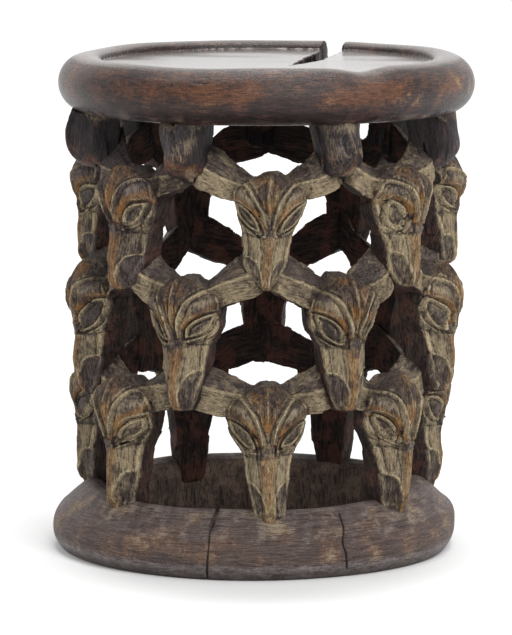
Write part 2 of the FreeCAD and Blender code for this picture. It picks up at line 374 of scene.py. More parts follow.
def outline_half(s, tier):
    return tier.half * curve(s, OUTLINE_LEVELS, OUTLINES[tier.name])


def on_face(points, tier):
    """A line given in shares, in millimetres and made smooth."""
    return rounded(np.asarray(points) * (tier.half, tier.height))


def almond(a, h, tier, cut):
    """Distance from the outline of the eye, below zero inside."""
    turn = math.radians(EYE_SLOPE + cut.eye_slope)
    across = (a - cut.eye_across * tier.half) * cut.eye_spread
    up = h - (EYE_LEVEL + cut.eye_level) * tier.height
    along = across * math.cos(turn) + up * math.sin(turn)
    off = up * math.cos(turn) - across * math.sin(turn)
    length = EYE_HALF_LENGTH * cut.eye_size * tier.half / EYE_FOR_HALF
    height = EYE_HALF_HEIGHT * cut.eye_size * tier.half / EYE_FOR_HALF
    radius = (length * length + height * height) / (2.0 * height)
    return np.maximum(np.hypot(along, off + radius - height), np.hypot(along, off - radius + height)) - radius


Marks = namedtuple("Marks", "rib forehead muzzle nostril lid eye edge nose")


def face_marks(x, h, tier, cut):
    """Distances to the carved lines of a face, in millimetres."""
    if cut.wander:
        sideways, upward = cut.wander
        shift_x = WANDER * sideways.at(x, 0.0, h)
        shift_h = WANDER * upward.at(x, 0.0, h)
        x = x + shift_x
        h = h + shift_h
    a = np.abs(x)
    s = h / tier.height
    nose = tier.half * curve(s, NOSE_LEVELS, NOSE_HALF) * cut.nose

    def near(line):
        return line_distance(a, h, on_face(line, tier))

    return Marks(
        rib=near(BROW_RIB),
        forehead=near(FOREHEAD_RIB),
        muzzle=near(MUZZLE_LINE),
        nostril=near(NOSTRIL_LINE),
        lid=near(LID_LINE),
        eye=almond(a, h, tier, cut),
        edge=outline_half(s, tier) - a,
        nose=a - nose,
    )


def nostril_share(a, h, tier):
    """1 below the line over the nostrils, 0 above it."""
    across, level = np.array(NOSTRIL_LINE[::-1]).T
    return fade(np.interp(a / tier.half, across, level) * tier.height - h, 0.0, 3.0)


def face_front(x, h, tier, cut):
    """How far out the front of the face stands at a place across and up."""
    a = np.abs(x)
    s = h / tier.height
    half = np.maximum(outline_half(s, tier), 2.0)
    ridge = tier.brow - curve(s, PROFILE_LEVELS, FRONT_SET_BACK)
    fall = curve(s, PROFILE_LEVELS, CHEEK_FALL)
    power = curve(s, PROFILE_LEVELS, CHEEK_POWER)
    soft = (np.sqrt(a * a + 9.0) - 3.0) / half
    front = ridge - fall * np.clip(soft, 0.0, 1.6) ** power

    mark = face_marks(x, h, tier, cut)
    pad = bump(a - 0.68 * tier.half, 0.27 * tier.half) * bump(s - 0.80, 0.075)
    front = front + BROW_PAD * cut.brow * pad
    in_eye = fade(mark.eye, 6.0, 2.0)
    eye = np.interp(mark.eye, EYE_PROFILE_AT, EYE_PROFILE)
    front = front + eye - SOCKET_DEPTH * fade(mark.eye, 4.5, 0.5)
    rib = BROW_CUT.height * bump(mark.rib, 1.3) - BROW_CUT.groove * bump(mark.rib - BROW_CUT.beside, 1.1)
    front = front + rib * cut.brow * (1.0 - in_eye)
    crest = FOREHEAD_CUT.height * bump(mark.forehead, 1.4)
    crest = crest - FOREHEAD_CUT.groove * bump(mark.forehead - FOREHEAD_CUT.beside, 1.1)
    front = front + fade(s, 0.66, 0.74) * cut.forehead * crest
    nose = NOSE_CUT.height * fade(mark.nose, 1.2, -1.0)
    nose = nose - NOSE_CUT.groove * bump(mark.nose - NOSE_CUT.beside, 1.0)
    front = front + fade(s, 0.60, 0.50) * nose
    off_nose = fade(mark.nose, 0.0, 2.0)
    front = front - MUZZLE_GROOVE * bump(mark.muzzle, 1.2) * off_nose
    nostril = nostril_share(a, h, tier) * off_nose * fade(s, 0.02, 0.06)
    front = front - NOSTRIL_DEPTH * nostril + NOSTRIL_RIB * bump(mark.nostril, 1.1) * fade(s, 0.50, 0.44)
    cheek = bump(mark.edge - CHEEK_GROOVE_AT, 1.1) * fade(s, 0.10, 0.20) * fade(s, 0.72, 0.62)
    return front - CHEEK_GROOVE * cheek * (1.0 - in_eye)


def ear_levels(turn, tier):
    """Along an ear: levels of its underside, front edge and back edge, and its front's radius."""
    u = (np.abs(turn) - EAR_ROOT) / (EAR_SPAN - EAR_ROOT)
    share = np.clip(u, -0.4, 1.0)
    arch = np.sin(math.pi * np.clip(u, 0.0, 1.0))
    crown = tier.height

    def rising(start, end):
        return start + share * (tier.drop + end - start)

    low = rising(EAR_UNDER * crown, 1.0) - 2.0 * arch
    edge = rising(crown + EAR_EDGE_START, EAR_EDGE_END) - arch
    back = rising(crown + EAR_BACK_START, EAR_BACK_END)
    front = tier.brow - EAR_SET_BACK + 6.0 * fade(share, 0.05, 0.5) - 7.0 * fade(share, 0.80, 1.0)
    return low, edge, back, front


def ear_field(x, y, h, tier):
    """The two ears: bars round the drum with a flat front and a bevelled top that rises to the back."""
    turn = np.degrees(np.arctan2(x, y))
    out = np.hypot(x, y)
    low, edge, back, front = ear_levels(turn, tier)
    lean = np.clip((front - out) / np.maximum(front - HOLLOW_RADIUS, 1.0), -0.3, 1.2)
    top = edge + (back - edge) * lean
    dished = front - 1.2 * bump(h - (low + edge) / 2.0, 6.0)
    field = soft_max(low - h, (h - top) * 0.8, 1.0)
    field = soft_max(field, out - dished, 1.0)
    return np.maximum(field, np.radians(np.abs(turn) - EAR_SPAN) * out)


def block_field(x, y, h, tier, cut):
    """The face and the block behind it, without the ears."""
    a = np.abs(x)
    s = h / tier.height
    half = outline_half(s, tier)
    ridge = tier.brow - curve(s, PROFILE_LEVELS, FRONT_SET_BACK)
    edge_out = ridge - curve(s, PROFILE_LEVELS, CHEEK_FALL)
    front = (y - face_front(x, h, tier, cut)) * 0.75
    side = (a - half * np.minimum(1.0, y / edge_out)) * 0.9
    field = soft_max(front, side, 1.6)
    field = soft_max(field, h - tier.height - 1.0, 4.0)
    return soft_max(field, MUZZLE_ENDS[tier.name] - h, 3.0)


def head_field(x, y, h, tier, cut):
    field = soft_min(block_field(x, y, h, tier, cut), ear_field(x, y, h, tier), 1.2)
    return soft_max(field, HOLLOW_RADIUS + 0.5 - np.hypot(x, y), 2.0)


def head_axes(tier):
    """Grid coordinates across, outwards and up that are finest where the eyes are."""
    eyes, fine, coarse = ((0.75, 1.2, 2.0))
    reach = tier.half + 1.0
    side = LOG_RADIUS * math.sin(math.radians(EAR_SPAN)) + 6.0
    across = spaced([(-side, coarse), (-reach, eyes), (reach, coarse), (side, coarse)])
    inner = HOLLOW_RADIUS * math.cos(math.radians(EAR_SPAN)) - 6.0
    outwards = spaced([(inner, coarse), (tier.brow - 36.0, fine), (tier.brow + 7.0, fine)])
    top = tier.drop + EAR_BACK_END + 2.0
    up = spaced([(-20.0, fine), (0.42 * tier.height, eyes), (0.82 * tier.height, fine), (top, fine)])
    return across, outwards, up


# Added to the distance from a line where the line doesn't run, and off the part of the head that it lies on
OFF_LINE = 6.0
OFF_FACE = 8.0
# How far from the nose its dark line runs
NOSE_LINE = 1.9


def head_paint(points, normals, tier, cut):
    """Shares of ochre, rust, grey and bare inner wood, the last also painted shade on the sides; distances to
    carved lines and ribs; the strokes.
    """
    x, y, h = points.T
    s = h / tier.height
    a = np.abs(x)
    out = np.hypot(x, y)
    facing = facing_out(points, normals)
    up = normals[:, 2]
    mark = face_marks(x, h, tier, cut)
    face = fade(y - face_front(x, h, tier, cut), -2.5, -0.5) * fade(facing, 0.05, 0.3)
    face = face * fade(mark.edge, -2.0, 0.0)
    turn = np.degrees(np.arctan2(x, y))
    low, edge, _, _ = ear_levels(turn, tier)
    outer = (1.0 - face) * fade(np.maximum(facing, up), 0.25, 0.5)
    ear_top = outer * fade(h - edge, -0.5, 1.0)
    ear = (outer - ear_top) * fade(h - low, -2.0, 1.0)
    side = 1.0 - face - ear - ear_top

    in_eye = fade(mark.eye, 0.6, -0.4)
    lens = fade(mark.eye, -3.4, -4.2)
    lid = in_eye * (1.0 - lens)
    under_eye = bump(mark.eye - 5.0, 3.0) * fade(s, 0.64, 0.58) * fade(s, 0.42, 0.47)
    on_nose = fade(s, 0.60, 0.50) * fade(mark.nose, 1.0, -0.5)
    bridge = bump(s - 0.50, 0.05) * on_nose
    pad = bump(a - 0.70 * tier.half, 0.25 * tier.half) * bump(s - 0.815, 0.06)
    band = bump(mark.lid - 3.0, 3.0) * (1.0 - in_eye) * fade(s, 0.5, 0.58)
    centre = fade(mark.rib, 2.0, 5.0) * fade(a, 0.5 * tier.half, 0.3 * tier.half) * fade(s, 0.58, 0.68)
    vee = centre * fade(s, 0.86, 0.70)
    muzzle = fade(s, 0.47, 0.44) * (1.0 - on_nose)
    nostril = nostril_share(a, h, tier) * muzzle

    # Less ochre on faces that look up: with the grey on the ear tops, a painted cool light from above
    ochre = 0.52 + 0.22 * muzzle + 0.25 * lid - 0.40 * lens - 0.15 * under_eye - 0.35 * fade(up, 0.25, 0.7)
    ochre = ochre - 0.55 * nostril - 0.28 * on_nose - 0.50 * band - 0.40 * centre - 0.05 * pad
    # The sides between the heads lose ochre, rust and grey: painted shade
    ochre = face * ochre + ear * 0.62 + ear_top * 0.12 - side * 0.45
    rust = 0.60 * on_nose + 0.62 * band + 0.20 * centre + 0.90 * vee - 0.6 * bridge
    rust = face * rust - 0.2 * side
    # Grey: dust and a painted sheen on the brow pads, nose, nostrils and lenses; on the ear tops, painted
    # light
    grey = 0.05 + 0.50 * pad + 0.25 * nostril + 0.3 * bridge + 0.30 * lens
    grey = face * grey + 0.40 * ear_top - 0.3 * side
    # Bare wood inside the hollow, and painted shade on the sides that don't look up
    raw = np.maximum(fade(facing, -0.3, -0.8), 0.8 * side * fade(up, 0.5, 0.2))

    # Lines where painted shade goes: the carved grooves, and the ear's top edge
    line = np.minimum.reduce([
        np.abs(mark.eye - LENS_GROOVE),
        np.abs(mark.eye - LID_GROOVE),
        np.abs(mark.rib - BROW_CUT.beside),
        mark.muzzle,
        np.abs(mark.edge - CHEEK_GROOVE_AT) + OFF_LINE * fade(s, 0.66, 0.72),
        np.abs(mark.nose - NOSE_LINE) + OFF_LINE * fade(s, 0.50, 0.58),
        np.abs(mark.forehead - FOREHEAD_CUT.beside) + OFF_LINE * fade(s, 0.74, 0.68),
    ])
    line = line + OFF_FACE * (1.0 - face)
    line = np.minimum(line, np.abs(h - edge - 0.5) + OFF_FACE * (1.0 - ear - ear_top))
    # Ribs, the face's outline and the ear's edge, where the pale painted highlight goes
    rib = np.minimum.reduce([
        mark.rib + OFF_LINE * in_eye,
        mark.forehead + OFF_LINE * fade(s, 0.76, 0.70),
        np.abs(mark.eye - SOCKET_RIM),
        np.abs(mark.eye - LID_RIM),
        mark.nostril + OFF_LINE * fade(s, 0.02, 0.0),
        np.abs(mark.edge - 1.5) + OFF_LINE * fade(s, 0.86, 0.92),
    ])
    rib = rib + OFF_FACE * (1.0 - face)
    rib = np.minimum(rib, np.abs(h - edge + 1.6) + OFF_FACE * (1.0 - ear))

    upright = np.stack([x, y, 0.15 * h], axis=1)
    round_drum = np.stack([0.15 * np.radians(turn) * out, h - 0.3 * np.abs(x), out], axis=1)
    on_ear = (face < 0.5) & (np.abs(turn) > EAR_ROOT) & (h > low - 1.0)
    return (ochre, rust, grey, raw), line, rib, np.where(on_ear[:, None], round_drum, upright)


def spans(angle, above):
    """How far round it is to the muzzle above the left ear, and to the one above the right."""
    rights = [(other - angle) % 360.0 for other in above]
    return 360.0 - max(rights), min(rights)


# What a head has of its own: growth across and down from the brow, sway of its tip, painted light and shade
# (paler on some heads at the front and right, darker and greyer on those to the left), how far across its
# eyes lie, how much steeper they slope, how big they are, and how much narrower than usual across
USUAL = (1.0, 1.0, 0.0, 0.0, 0.55, 0.0, 1.0, 1.0)
Own = namedtuple("Own", "wide long sway tone eye slope eye_size eye_spread", defaults=USUAL)
OWN_SHAPES = {
    "upper_head_1": Own(wide=1.02, sway=-6.0, tone=0.05, eye=0.62, eye_size=0.9),
    "upper_head_2": Own(wide=1.08, long=1.06, tone=0.03, eye=0.56, slope=19.0, eye_size=0.82),
    "upper_head_3": Own(wide=1.05),
    "upper_head_6": Own(wide=1.05, tone=-0.2),
    "upper_head_7": Own(wide=1.12, long=1.10, tone=-0.38, slope=-5.0, eye_size=0.78),
    "middle_head_1": Own(eye=0.54, slope=8.0, eye_size=1.05, eye_spread=1.25),
    "middle_head_6": Own(tone=-0.15),
    "middle_head_7": Own(tone=-0.06, eye=0.56, eye_size=0.82),
    "lower_head_1": Own(sway=2.0, tone=0.08, eye=0.62, slope=2.0, eye_size=0.84),
    "lower_head_2": Own(tone=0.05, slope=9.0, eye_size=0.78),
    "lower_head_6": Own(wide=1.08, tone=-0.1),
    "lower_head_7": Own(wide=1.05, eye_size=0.78),
}


def in_own_shape(points, tier, own):
    """Sculpted points with the head's own growth and sway."""
    x, y, h = points.T
    turn = np.degrees(np.arctan2(np.abs(x), y))
    brow_level = 0.72 * tier.height
    below = np.maximum(brow_level - h, 0.0)
    middle = fade(turn, 22.0, 9.0)
    across = x * (1.0 + (own.wide - 1.0) * middle) + own.sway * below / brow_level
    return np.stack([across, y + (own.wide - 1.0) * 30.0 * middle, h - below * (own.long - 1.0)], axis=1)


def in_place(points, tier, tip, angle, left, right):
    """Sculpted points with the ears stretched to their spans, turned to the head's angle on the drum."""
    turn = np.degrees(np.arctan2(points[:, 0], points[:, 1]))
    out = np.hypot(points[:, 0], points[:, 1])
    reach = np.where(turn < 0.0, left, right) - EAR_SPAN
    turn = turn + np.sign(turn) * reach * fade(np.abs(turn), 12.0, EAR_SPAN)
    turn = np.radians(angle + turn)
    x = drum_x(tip + tier.height / 2.0) + TIER_SHIFT
    return np.stack([x + out * np.sin(turn), -out * np.cos(turn), points[:, 2] + tip], axis=1)


# Meshes

# The distance that means nowhere near
FAR = 9.0


def added(name, data):
    """A new object in the scene."""
    item = bpy.data.objects.new(name, data)
    bpy.context.scene.collection.objects.link(item)
    return item


def made(name, points, quads, paint, strokes, **distances):
    """A smooth mesh in metres with the paint shares, a place in millimetres drawn out along the strokes, and
    the distances to lines, ribs and cracks."""
    mesh = bpy.data.meshes.new(name)
    mesh.vertices.add(len(points))
    mesh.vertices.foreach_set("co", (points * MM).astype(np.float32).ravel())
    mesh.loops.add(quads.size)
    mesh.loops.foreach_set("vertex_index", quads.astype(np.int32).ravel())
    mesh.polygons.add(len(quads))
    mesh.polygons.foreach_set("loop_start", np.arange(0, quads.size, 4, dtype=np.int32))
    mesh.polygons.foreach_set("use_smooth", np.ones(len(quads), dtype=bool))
    mesh.update(calc_edges=True)
    mesh.validate()

    def hold(attribute, kind, key, values):
        layer = mesh.attributes.new(attribute, kind, "POINT")
        layer.data.foreach_set(key, values.astype(np.float32).ravel())

    hold("paint", "FLOAT_COLOR", "color", np.clip(np.stack(paint, axis=1), -1.0, 1.0))
    hold("strokes", "FLOAT_VECTOR", "vector", strokes)
    for line in ("line", "rib", "crack"):
        away = np.broadcast_to(distances.get(line, FAR), len(points))
        hold(line, "FLOAT", "value", np.clip(away, 0.0, FAR))
    return added(name, mesh)


def worn_and_shaded(points, quads, paint, strength=1.0):
    """Paint shares after handling: sharp edges rubbed to ochre, partly a painted highlight, bulges rubbed to
    rust, and painted shade in hollows.
    """
    normals, quads = outward(points, quads)
    fine = bulging(points, quads, normals, 2)
    broad = bulging(points, quads, normals, 10)
    ochre, rust, grey, raw = paint
    # Sharp edges paler: partly wear, partly a painted highlight
    edge = fade(fine, 0.05, 0.30) * strength
    # Less ochre in hollows: painted shade
    hollow_shade = fade(-broad, 0.25, 1.1) * strength
    ochre = ochre + 0.35 * edge - 0.20 * hollow_shade
    rust = rust + 0.25 * fade(broad, 0.4, 1.4) * strength
    return (ochre, rust, grey, raw), quads


def own_carving(own, seed, rng):
    """The cutting of one face: what the head has of its own, and the rest by chance."""
    size = rng.uniform(0.94, 1.06)
    return Carving(
        eye_across=own.eye,
        eye_slope=own.slope + rng.normal(0, 3.0),
        eye_level=rng.normal(0, 0.008),
        eye_size=size * own.eye_size,
        eye_spread=own.eye_spread,
        brow=rng.uniform(0.8, 1.25),
        nose=rng.uniform(0.85, 1.2),
        forehead=rng.uniform(0.5, 1.3),
        wander=(Waves(seed + 20, WANDER_LENGTH), Waves(seed + 40, WANDER_LENGTH)),
    )


def build_heads(finish):
    tip_above = LOWEST_TIP + sum(tier.drop for tier in TIERS)
    above = BRACKET_ANGLES
    for row, tier in enumerate(TIERS):
        tip = tip_above - tier.drop
        points, quads = surface(lambda x, y, h: head_field(x, y, h, tier, PLAIN), head_axes(tier))
        for number, angle in enumerate(tier.angles, 1):
            seed = SEED + 100 * row + number
            rng = np.random.default_rng(seed)
            node = f"{tier.name}_{number}"
            own = OWN_SHAPES.get(node, Own())
            cut = own_carving(own, seed, rng)
            carved = settled(points, lambda x, y, h: head_field(x, y, h, tier, cut))
            normals, quads = outward(carved, quads)
            paint, line, rib, strokes = head_paint(carved, normals, tier, cut)
            off_lines = 1.0 - 0.8 * fade(line, 9.0, 5.0)
            uneven = hewn(carved, normals, seed, HEAD_TOOLS, off_lines)
            left, right = spans(angle, above)
            posed = in_place(in_own_shape(uneven, tier, own), tier, tip, angle, left, right)
            (ochre, rust, grey, raw), wound = worn_and_shaded(posed, quads, paint)
            # The head's painted light and shade: more ochre where paler, less ochre and more grey where
            # darker
            shares = (ochre + own.tone + rng.uniform(-0.05, 0.05), rust, grey - 0.4 * own.tone, raw)
            strokes = strokes + 40.0 * rng.uniform(size=3)
            piece = made("carved_" + node, posed, wound, shares, strokes, line=line, rib=rib)
            finish(piece, node, "head_wood")
        tip_above = tip
        above = tier.angles


# Brackets

# Half width, and set-back of the front, by level as a share of the height, and where the ridge runs across
BRACKET_HALF_LEVELS = (-0.1, 0.05, 0.15, 0.3, 0.6, 0.85, 1.1)
BRACKET_HALF = (8.0, 13.0, 16.0, 18.0, 18.5, 19.5, 21.0)
BRACKET_FRONT_LEVELS = (-0.1, 0.05, 0.15, 0.35, 0.6, 0.85, 1.1)
BRACKET_SET_BACK = (32.0, 27.0, 20.0, 12.0, 9.0, 11.0, 15.0)
BRACKET_RIDGE = -3.0

# How much ochre is added to or taken from each bracket, and how far it stands out
BRACKET_OCHRE = (-0.08, -0.5, -0.4, -0.3, -0.4, -0.6, -0.25)
BRACKET_OUT = (0.0, 3.5, 0.0, 0.0, 0.0, 2.5, 0.0)


def bracket_field(x, y, h):
    """A bulging post with a ridged front and a blunt end, h above its lower end."""
    s = h / BRACKET_HEIGHT
    half = curve(s, BRACKET_HALF_LEVELS, BRACKET_HALF)
    front = LOG_RADIUS - curve(s, BRACKET_FRONT_LEVELS, BRACKET_SET_BACK)
    share = np.abs(x - BRACKET_RIDGE) / np.maximum(half, 2.0)
    face = (y - (front - 15.0 * np.clip(share, 0.0, 1.5) ** 1.5)) * 0.8
    side = np.abs(x) - half * np.minimum(1.0, y / (front - 17.0))
    field = soft_max(face, side, 2.0)
    field = soft_max(field, 6.0 - h, 5.0)
    field = np.maximum(field, h - BRACKET_HEIGHT - 4.0)
    return soft_max(field, HOLLOW_RADIUS + 0.5 - np.hypot(x, y), 2.0)


def build_brackets(finish):
    step = 1.3
    across = spaced([(-30.0, step), (30.0, step)])
    outwards = spaced([(116.0, step * 1.5), (140.0, step), (178.0, step)])
    up = spaced([(-4.0, step), (BRACKET_HEIGHT + 8.0, step)])
    points, normals, quads = sculpted(bracket_field, (across, outwards, up))
    facing = facing_out(points, normals)
    x, y, h = points.T
    s = h / BRACKET_HEIGHT
    axis = drum_x(seat_under) + BRACKET_SHIFT
    tip = seat_under - BRACKET_HEIGHT
    for number, angle in enumerate(BRACKET_ANGLES, 1):
        seed = SEED + 500 + number
        carved = hewn(points, normals, seed, BRACKET_TOOLS, 1.0)
        carved[:, 1] += BRACKET_OUT[number - 1]
        patch = Waves(seed, 30.0).at(x, y, h)
        ochre_offset = BRACKET_OCHRE[number - 1]
        ochre = ochre_offset + 0.2 * fade(facing, 0.2, 0.8) + 0.5 * fade(s, 0.85, 1.0)
        ochre = ochre + 0.5 * patch * fade(x, -6.0, 8.0)
        rust = 0.85 * bump(s - 0.28, 0.2) * fade(facing, 0.0, 0.7) * (0.6 + 0.4 * patch) - 0.1
        # Grey: a painted highlight down one facet
        grey = 0.55 * fade(facing, 0.4, 0.9) * bump(x + 9.0, 7.0) * bump(s - 0.6, 0.3) - 0.2
        raw = fade(facing, -0.3, -0.8)
        turn = math.radians(angle)
        posed = np.stack([
            axis + carved[:, 0] * math.cos(turn) + carved[:, 1] * math.sin(turn),
            carved[:, 0] * math.sin(turn) - carved[:, 1] * math.cos(turn),
            carved[:, 2] + tip,
        ], axis=1)
        shares, wound = worn_and_shaded(posed, quads, (ochre, rust, grey, raw))
        node = f"seat_bracket_{number}"
        strokes = points * (1.0, 1.0, 0.15) + 7.0 * number
        finish(made("carved_" + node, posed, wound, shares, strokes), node, "bracket_wood")


# Seat

RIM_TUBE = 24.2
RIM_MIDDLE = 155.8
RIM_LEVEL = 23.0
DISH_RADIUS = 143.0
DISH_FLOOR = 40.5
SPLIT = ((18.0, -42.0), (46.6, 20.0), (83.0, 200.0), (60.0, 206.0), (30.6, 28.0))
# A hairline crack that runs on from the split, and a worn dip in the front of the rim
HAIRLINE = ((18.0, -42.0), (12.0, -41.0), (4.0, -43.0), (-6.0, -42.0))
DIP_AT = (78.0, -135.0)
DIP_DEPTH = 4.0
seat_wave = Waves(SEED + 700, 120.0)
seat_fine = Waves(SEED + 701, 26.0)


def split_field(x, y):
    """The plan of the split, below zero inside, with walls torn along the grain."""
    torn = 1.4 * seat_fine.at(x * 2.0, y, 0.0) + 0.5 * np.sin(y * 1.9)
    field = -1000.0
    corners = list(SPLIT)
    for (ax, ay), (bx, by) in zip(corners, corners[1:] + corners[:1]):
        length = math.hypot(bx - ax, by - ay)
        field = np.maximum(field, ((x - ax) * (by - ay) - (y - ay) * (bx - ax)) / length)
    return field + torn * 0.6


def seat_field(x, y, z):
    """The rolled rim and the dished floor, about the seat's own axis, z above its underside."""
    out = np.hypot(x, y)
    wobble = seat_wave.at(x, y, 0.0)
    dip = DIP_DEPTH * bump(x - DIP_AT[0], 17.0) * bump(y - DIP_AT[1], 26.0) * fade(z, 25.0, 44.0)
    rim = np.hypot(out - RIM_MIDDLE - 0.8 * wobble, z - RIM_LEVEL - 0.6 * wobble) - RIM_TUBE + dip
    floor = DISH_FLOOR + 0.15 * seat_fine.at(x * 0.5, y * 0.5, 0.0)
    disc = np.maximum(np.maximum(z - floor, 0.4 - z), out - RIM_MIDDLE)
    dish = np.maximum(out - DISH_RADIUS - 1.2 * wobble, floor - z)
    field = soft_max(soft_min(rim, disc, 1.0), -dish, 1.0)
    field = soft_max(field, 0.3 - z, 1.5)
    return soft_max(field, -split_field(x, y), 0.8)


def build_seat(finish):
    step = 2.0
    reach = LOG_RADIUS + 6.0
    wide = step * 1.2
    fine = step * 0.7
    plan = spaced([(-reach, step), (-145.0, wide), (10.0, fine), (95.0, wide), (145.0, step), (reach, step)])
    depth = spaced([(-reach, step), (-140.0, wide), (140.0, step), (reach, step)])
    up = spaced([(-4.0, step * 0.8), (SEAT_THICKNESS + 4.0, step * 0.8)])
    points, normals, quads = sculpted(seat_field, (plan, depth, up))
    x, y, z = points.T
    out = np.hypot(x, y)
    top = fade(normals[:, 2], 0.5, 0.9)
    floor = top * fade(out, DISH_RADIUS, DISH_RADIUS - 2.0) * fade(z, 30.0, 36.0)
    crest = fade(normals[:, 2], 0.80, 0.97) * (1.0 - floor)
    rim = fade(out, DISH_RADIUS + 2.0, DISH_RADIUS + 6.0)
    wave = Waves(SEED + 702, 55.0).at(x, y, z)
    spots = Waves(SEED + 703, 17.0).at(x, y, z * 0.4)
    band = bump(z - RIM_LEVEL - 3.0 * wave, 9.0) * rim
    right = bump(np.degrees(np.arctan2(x, -y)) - 60.0, 22.0)
    torn = rim * fade(z, 9.0, 4.0) * fade(spots, -0.6, 0.6)
    # More ochre in the band on the right: a patch, made paler there as a painted sheen
    ochre = -0.35 + 0.30 * band * fade(spots, 0.0, 0.8)
    ochre = ochre + 0.8 * band * right * fade(spots, -0.3, 0.6) + 0.45 * torn
    rust = band * (0.34 + 0.60 * wave) + 0.25 * rim * fade(z, 20.0, 32.0) - 0.15 * floor
    # Grey on the dish floor is the wood under its wax; on the crest it is paler, partly a painted sheen
    grey = 1.1 * floor + 0.62 * crest - 0.1
    split_wall = fade(split_field(x, y), 2.5, 0.6) * fade(np.abs(normals[:, 2]), 0.8, 0.4)
    # Bare wood in the split's walls, and the rim darker towards its bottom
    raw = np.maximum(split_wall, fade(z, 19.0, 7.0) * 0.9 * (1.0 - torn))
    crack = line_distance(x, y, rounded(HAIRLINE)) * 1.2 + FAR * (1.0 - top)
    # Painted shade along the crease where the dish meets the rim
    dish_edge_shade = np.abs(out - DISH_RADIUS) + FAR * fade(z, 39.0, 36.0)
    points = points + np.array((seat_x, 0.0, seat_under))
    shares, wound = worn_and_shaded(points, quads, (ochre, rust, grey, raw), 0.5)
    round_tube = RIM_TUBE * np.arctan2(z - RIM_LEVEL, out - RIM_MIDDLE)
    along_rim = np.stack([0.12 * x, 0.12 * y, round_tube], axis=1)
    along_grain = np.stack([0.12 * x, y, z], axis=1)
    strokes = np.where((out > RIM_MIDDLE - RIM_TUBE)[:, None], along_rim, along_grain)
    piece = made("carved_seat", points, wound, shares, strokes, line=dish_edge_shade, crack=crack)
    finish(piece, "seat", "seat_wood")


# Base

BASE_OUT_LEVELS = (-8.0, 0.0, 8.0, 18.0, 30.0, 39.0, 45.0, 52.0, 60.0)
BASE_OUT = (161.0, 168.0, 173.6, 176.0, 173.4, 166.5, 160.0, 151.5, 143.0)
BASE_TOP_AT = (120.0, 128.0, 134.0, 141.0, 150.0, 159.0, 168.0)
BASE_TOP = (40.0, 47.5, 53.0, 56.0, 52.8, 46.0, 38.0)
BASE_SWELL = 4.0
base_wave = Waves(SEED + 800, 110.0)
# Cracks and a notch in the front, as seen from there, and how far out the lowest muzzles stand
BASE_CRACKS = (
    ((-33.5, 46.0), (-37.0, 40.0), (-38.0, 30.0), (-39.5, 12.0), (-39.0, 2.0)),
    ((72.0, 50.0), (75.5, 40.0), (74.5, 30.0), (77.5, 20.0), (78.0, 8.0)),
)
CRACK_WIDTH = 0.7
CRACK_DEPTH = 2.2
NOTCH = ((-31.0, 54.0), (-36.0, 44.0))
NOTCH_DEPTH = 4.0
MUZZLES_STAND = 150.0


def crack_distance(x, y, z):
    """Distance from the cracks in the front of the base, as seen from the front."""
    nearest = np.full(np.broadcast(x, z).shape, 1000.0)
    for crack in BASE_CRACKS:
        nearest = np.minimum(nearest, line_distance(x, z, rounded(crack)))
    return nearest + 1000.0 * (y > 0.0)


def base_field(x, y, z):
    """The ring with its rounded top and outside, about its own axis."""
    out = np.hypot(x, y)
    wobble = base_wave.at(x, y, z)
    swell = BASE_SWELL * fade(x / out, 0.7, 1.0)
    outside = (out - curve(z, BASE_OUT_LEVELS, BASE_OUT) - 0.9 * wobble - swell * fade(z, 20.0, 40.0)) * 0.95
    top = (z - curve(out, BASE_TOP_AT, BASE_TOP) - 0.8 * wobble - 0.5 * swell) * 0.9
    field = soft_max(outside, top, 4.0)
    field = soft_max(field, HOLLOW_RADIUS + 0.5 - out, 3.0)
    field = soft_max(field, 0.2 - z, 2.0)
    notch = bump(line_distance(x, z, np.array(NOTCH)), 1.5) * (y < 0.0)
    return field + CRACK_DEPTH * bump(crack_distance(x, y, z), CRACK_WIDTH) + NOTCH_DEPTH * notch


def build_base(finish):
    step = 2.1
    reach = BASE_RADIUS + 7.0
    fine = step * 0.33
    plan = spaced([(-reach, step), (-46.0, fine), (-26.0, step), (66.0, fine), (84.0, step), (reach, step)])
    depth = spaced([(-reach, step * 0.8), (-120.0, step), (reach, step)])
    up = spaced([(-5.0, step * 0.8), (BASE_HEIGHT + 6.0, step * 0.8)])
    points, normals, quads = sculpted(base_field, (plan, depth, up))
    x, y, z = points.T
    facing = facing_out(points, normals)
    wave = Waves(SEED + 801, 45.0).at(x, y, z)
    spots = Waves(SEED + 802, 15.0).at(x, y, z)
    contact = np.full(len(points), 1000.0)
    shift = drum_x(LOWEST_TIP + TIERS[-1].height / 2.0) + TIER_SHIFT - base_x
    for angle in TIERS[-1].angles:
        turn = math.radians(angle)
        away = np.hypot(x - shift - MUZZLES_STAND * math.sin(turn), y + MUZZLES_STAND * math.cos(turn))
        contact = np.minimum(contact, away)
    level = normals[:, 2]
    ochre = -0.02 + 0.2 * wave + 0.6 * bump(contact, 24.0) * (0.6 + 0.4 * spots) * fade(level, 0.1, 0.6)
    rust = 0.40 * fade(facing, 0.3, 0.8) * (0.7 + 0.6 * wave) * fade(z, 8.0, 20.0)
    # Grey: painted light on faces that look up, painted bounce light on the lower front, and random spots
    grey = 0.35 * fade(level, 0.3, 0.9) + 0.8 * fade(z, 17.0, 9.0) * fade(facing, 0.2, 0.8) + 0.1 * spots
    raw = fade(facing, -0.4, -0.9)
    crack = crack_distance(x, y, z)
    points = points + np.array((base_x, 0.0, 0.0))
    shares, wound = worn_and_shaded(points, quads, (ochre, rust, grey, raw), 0.4)
    round_ring = np.stack([0.1 * x, 0.1 * y, z - np.hypot(x, y)], axis=1)
    upright = np.stack([x, y, 0.15 * z], axis=1)
    strokes = np.where((raw > 0.5)[:, None], upright, round_ring)
    finish(made("carved_base", points, wound, shares, strokes, crack=crack), "base_ring", "base_wood")


# Materials

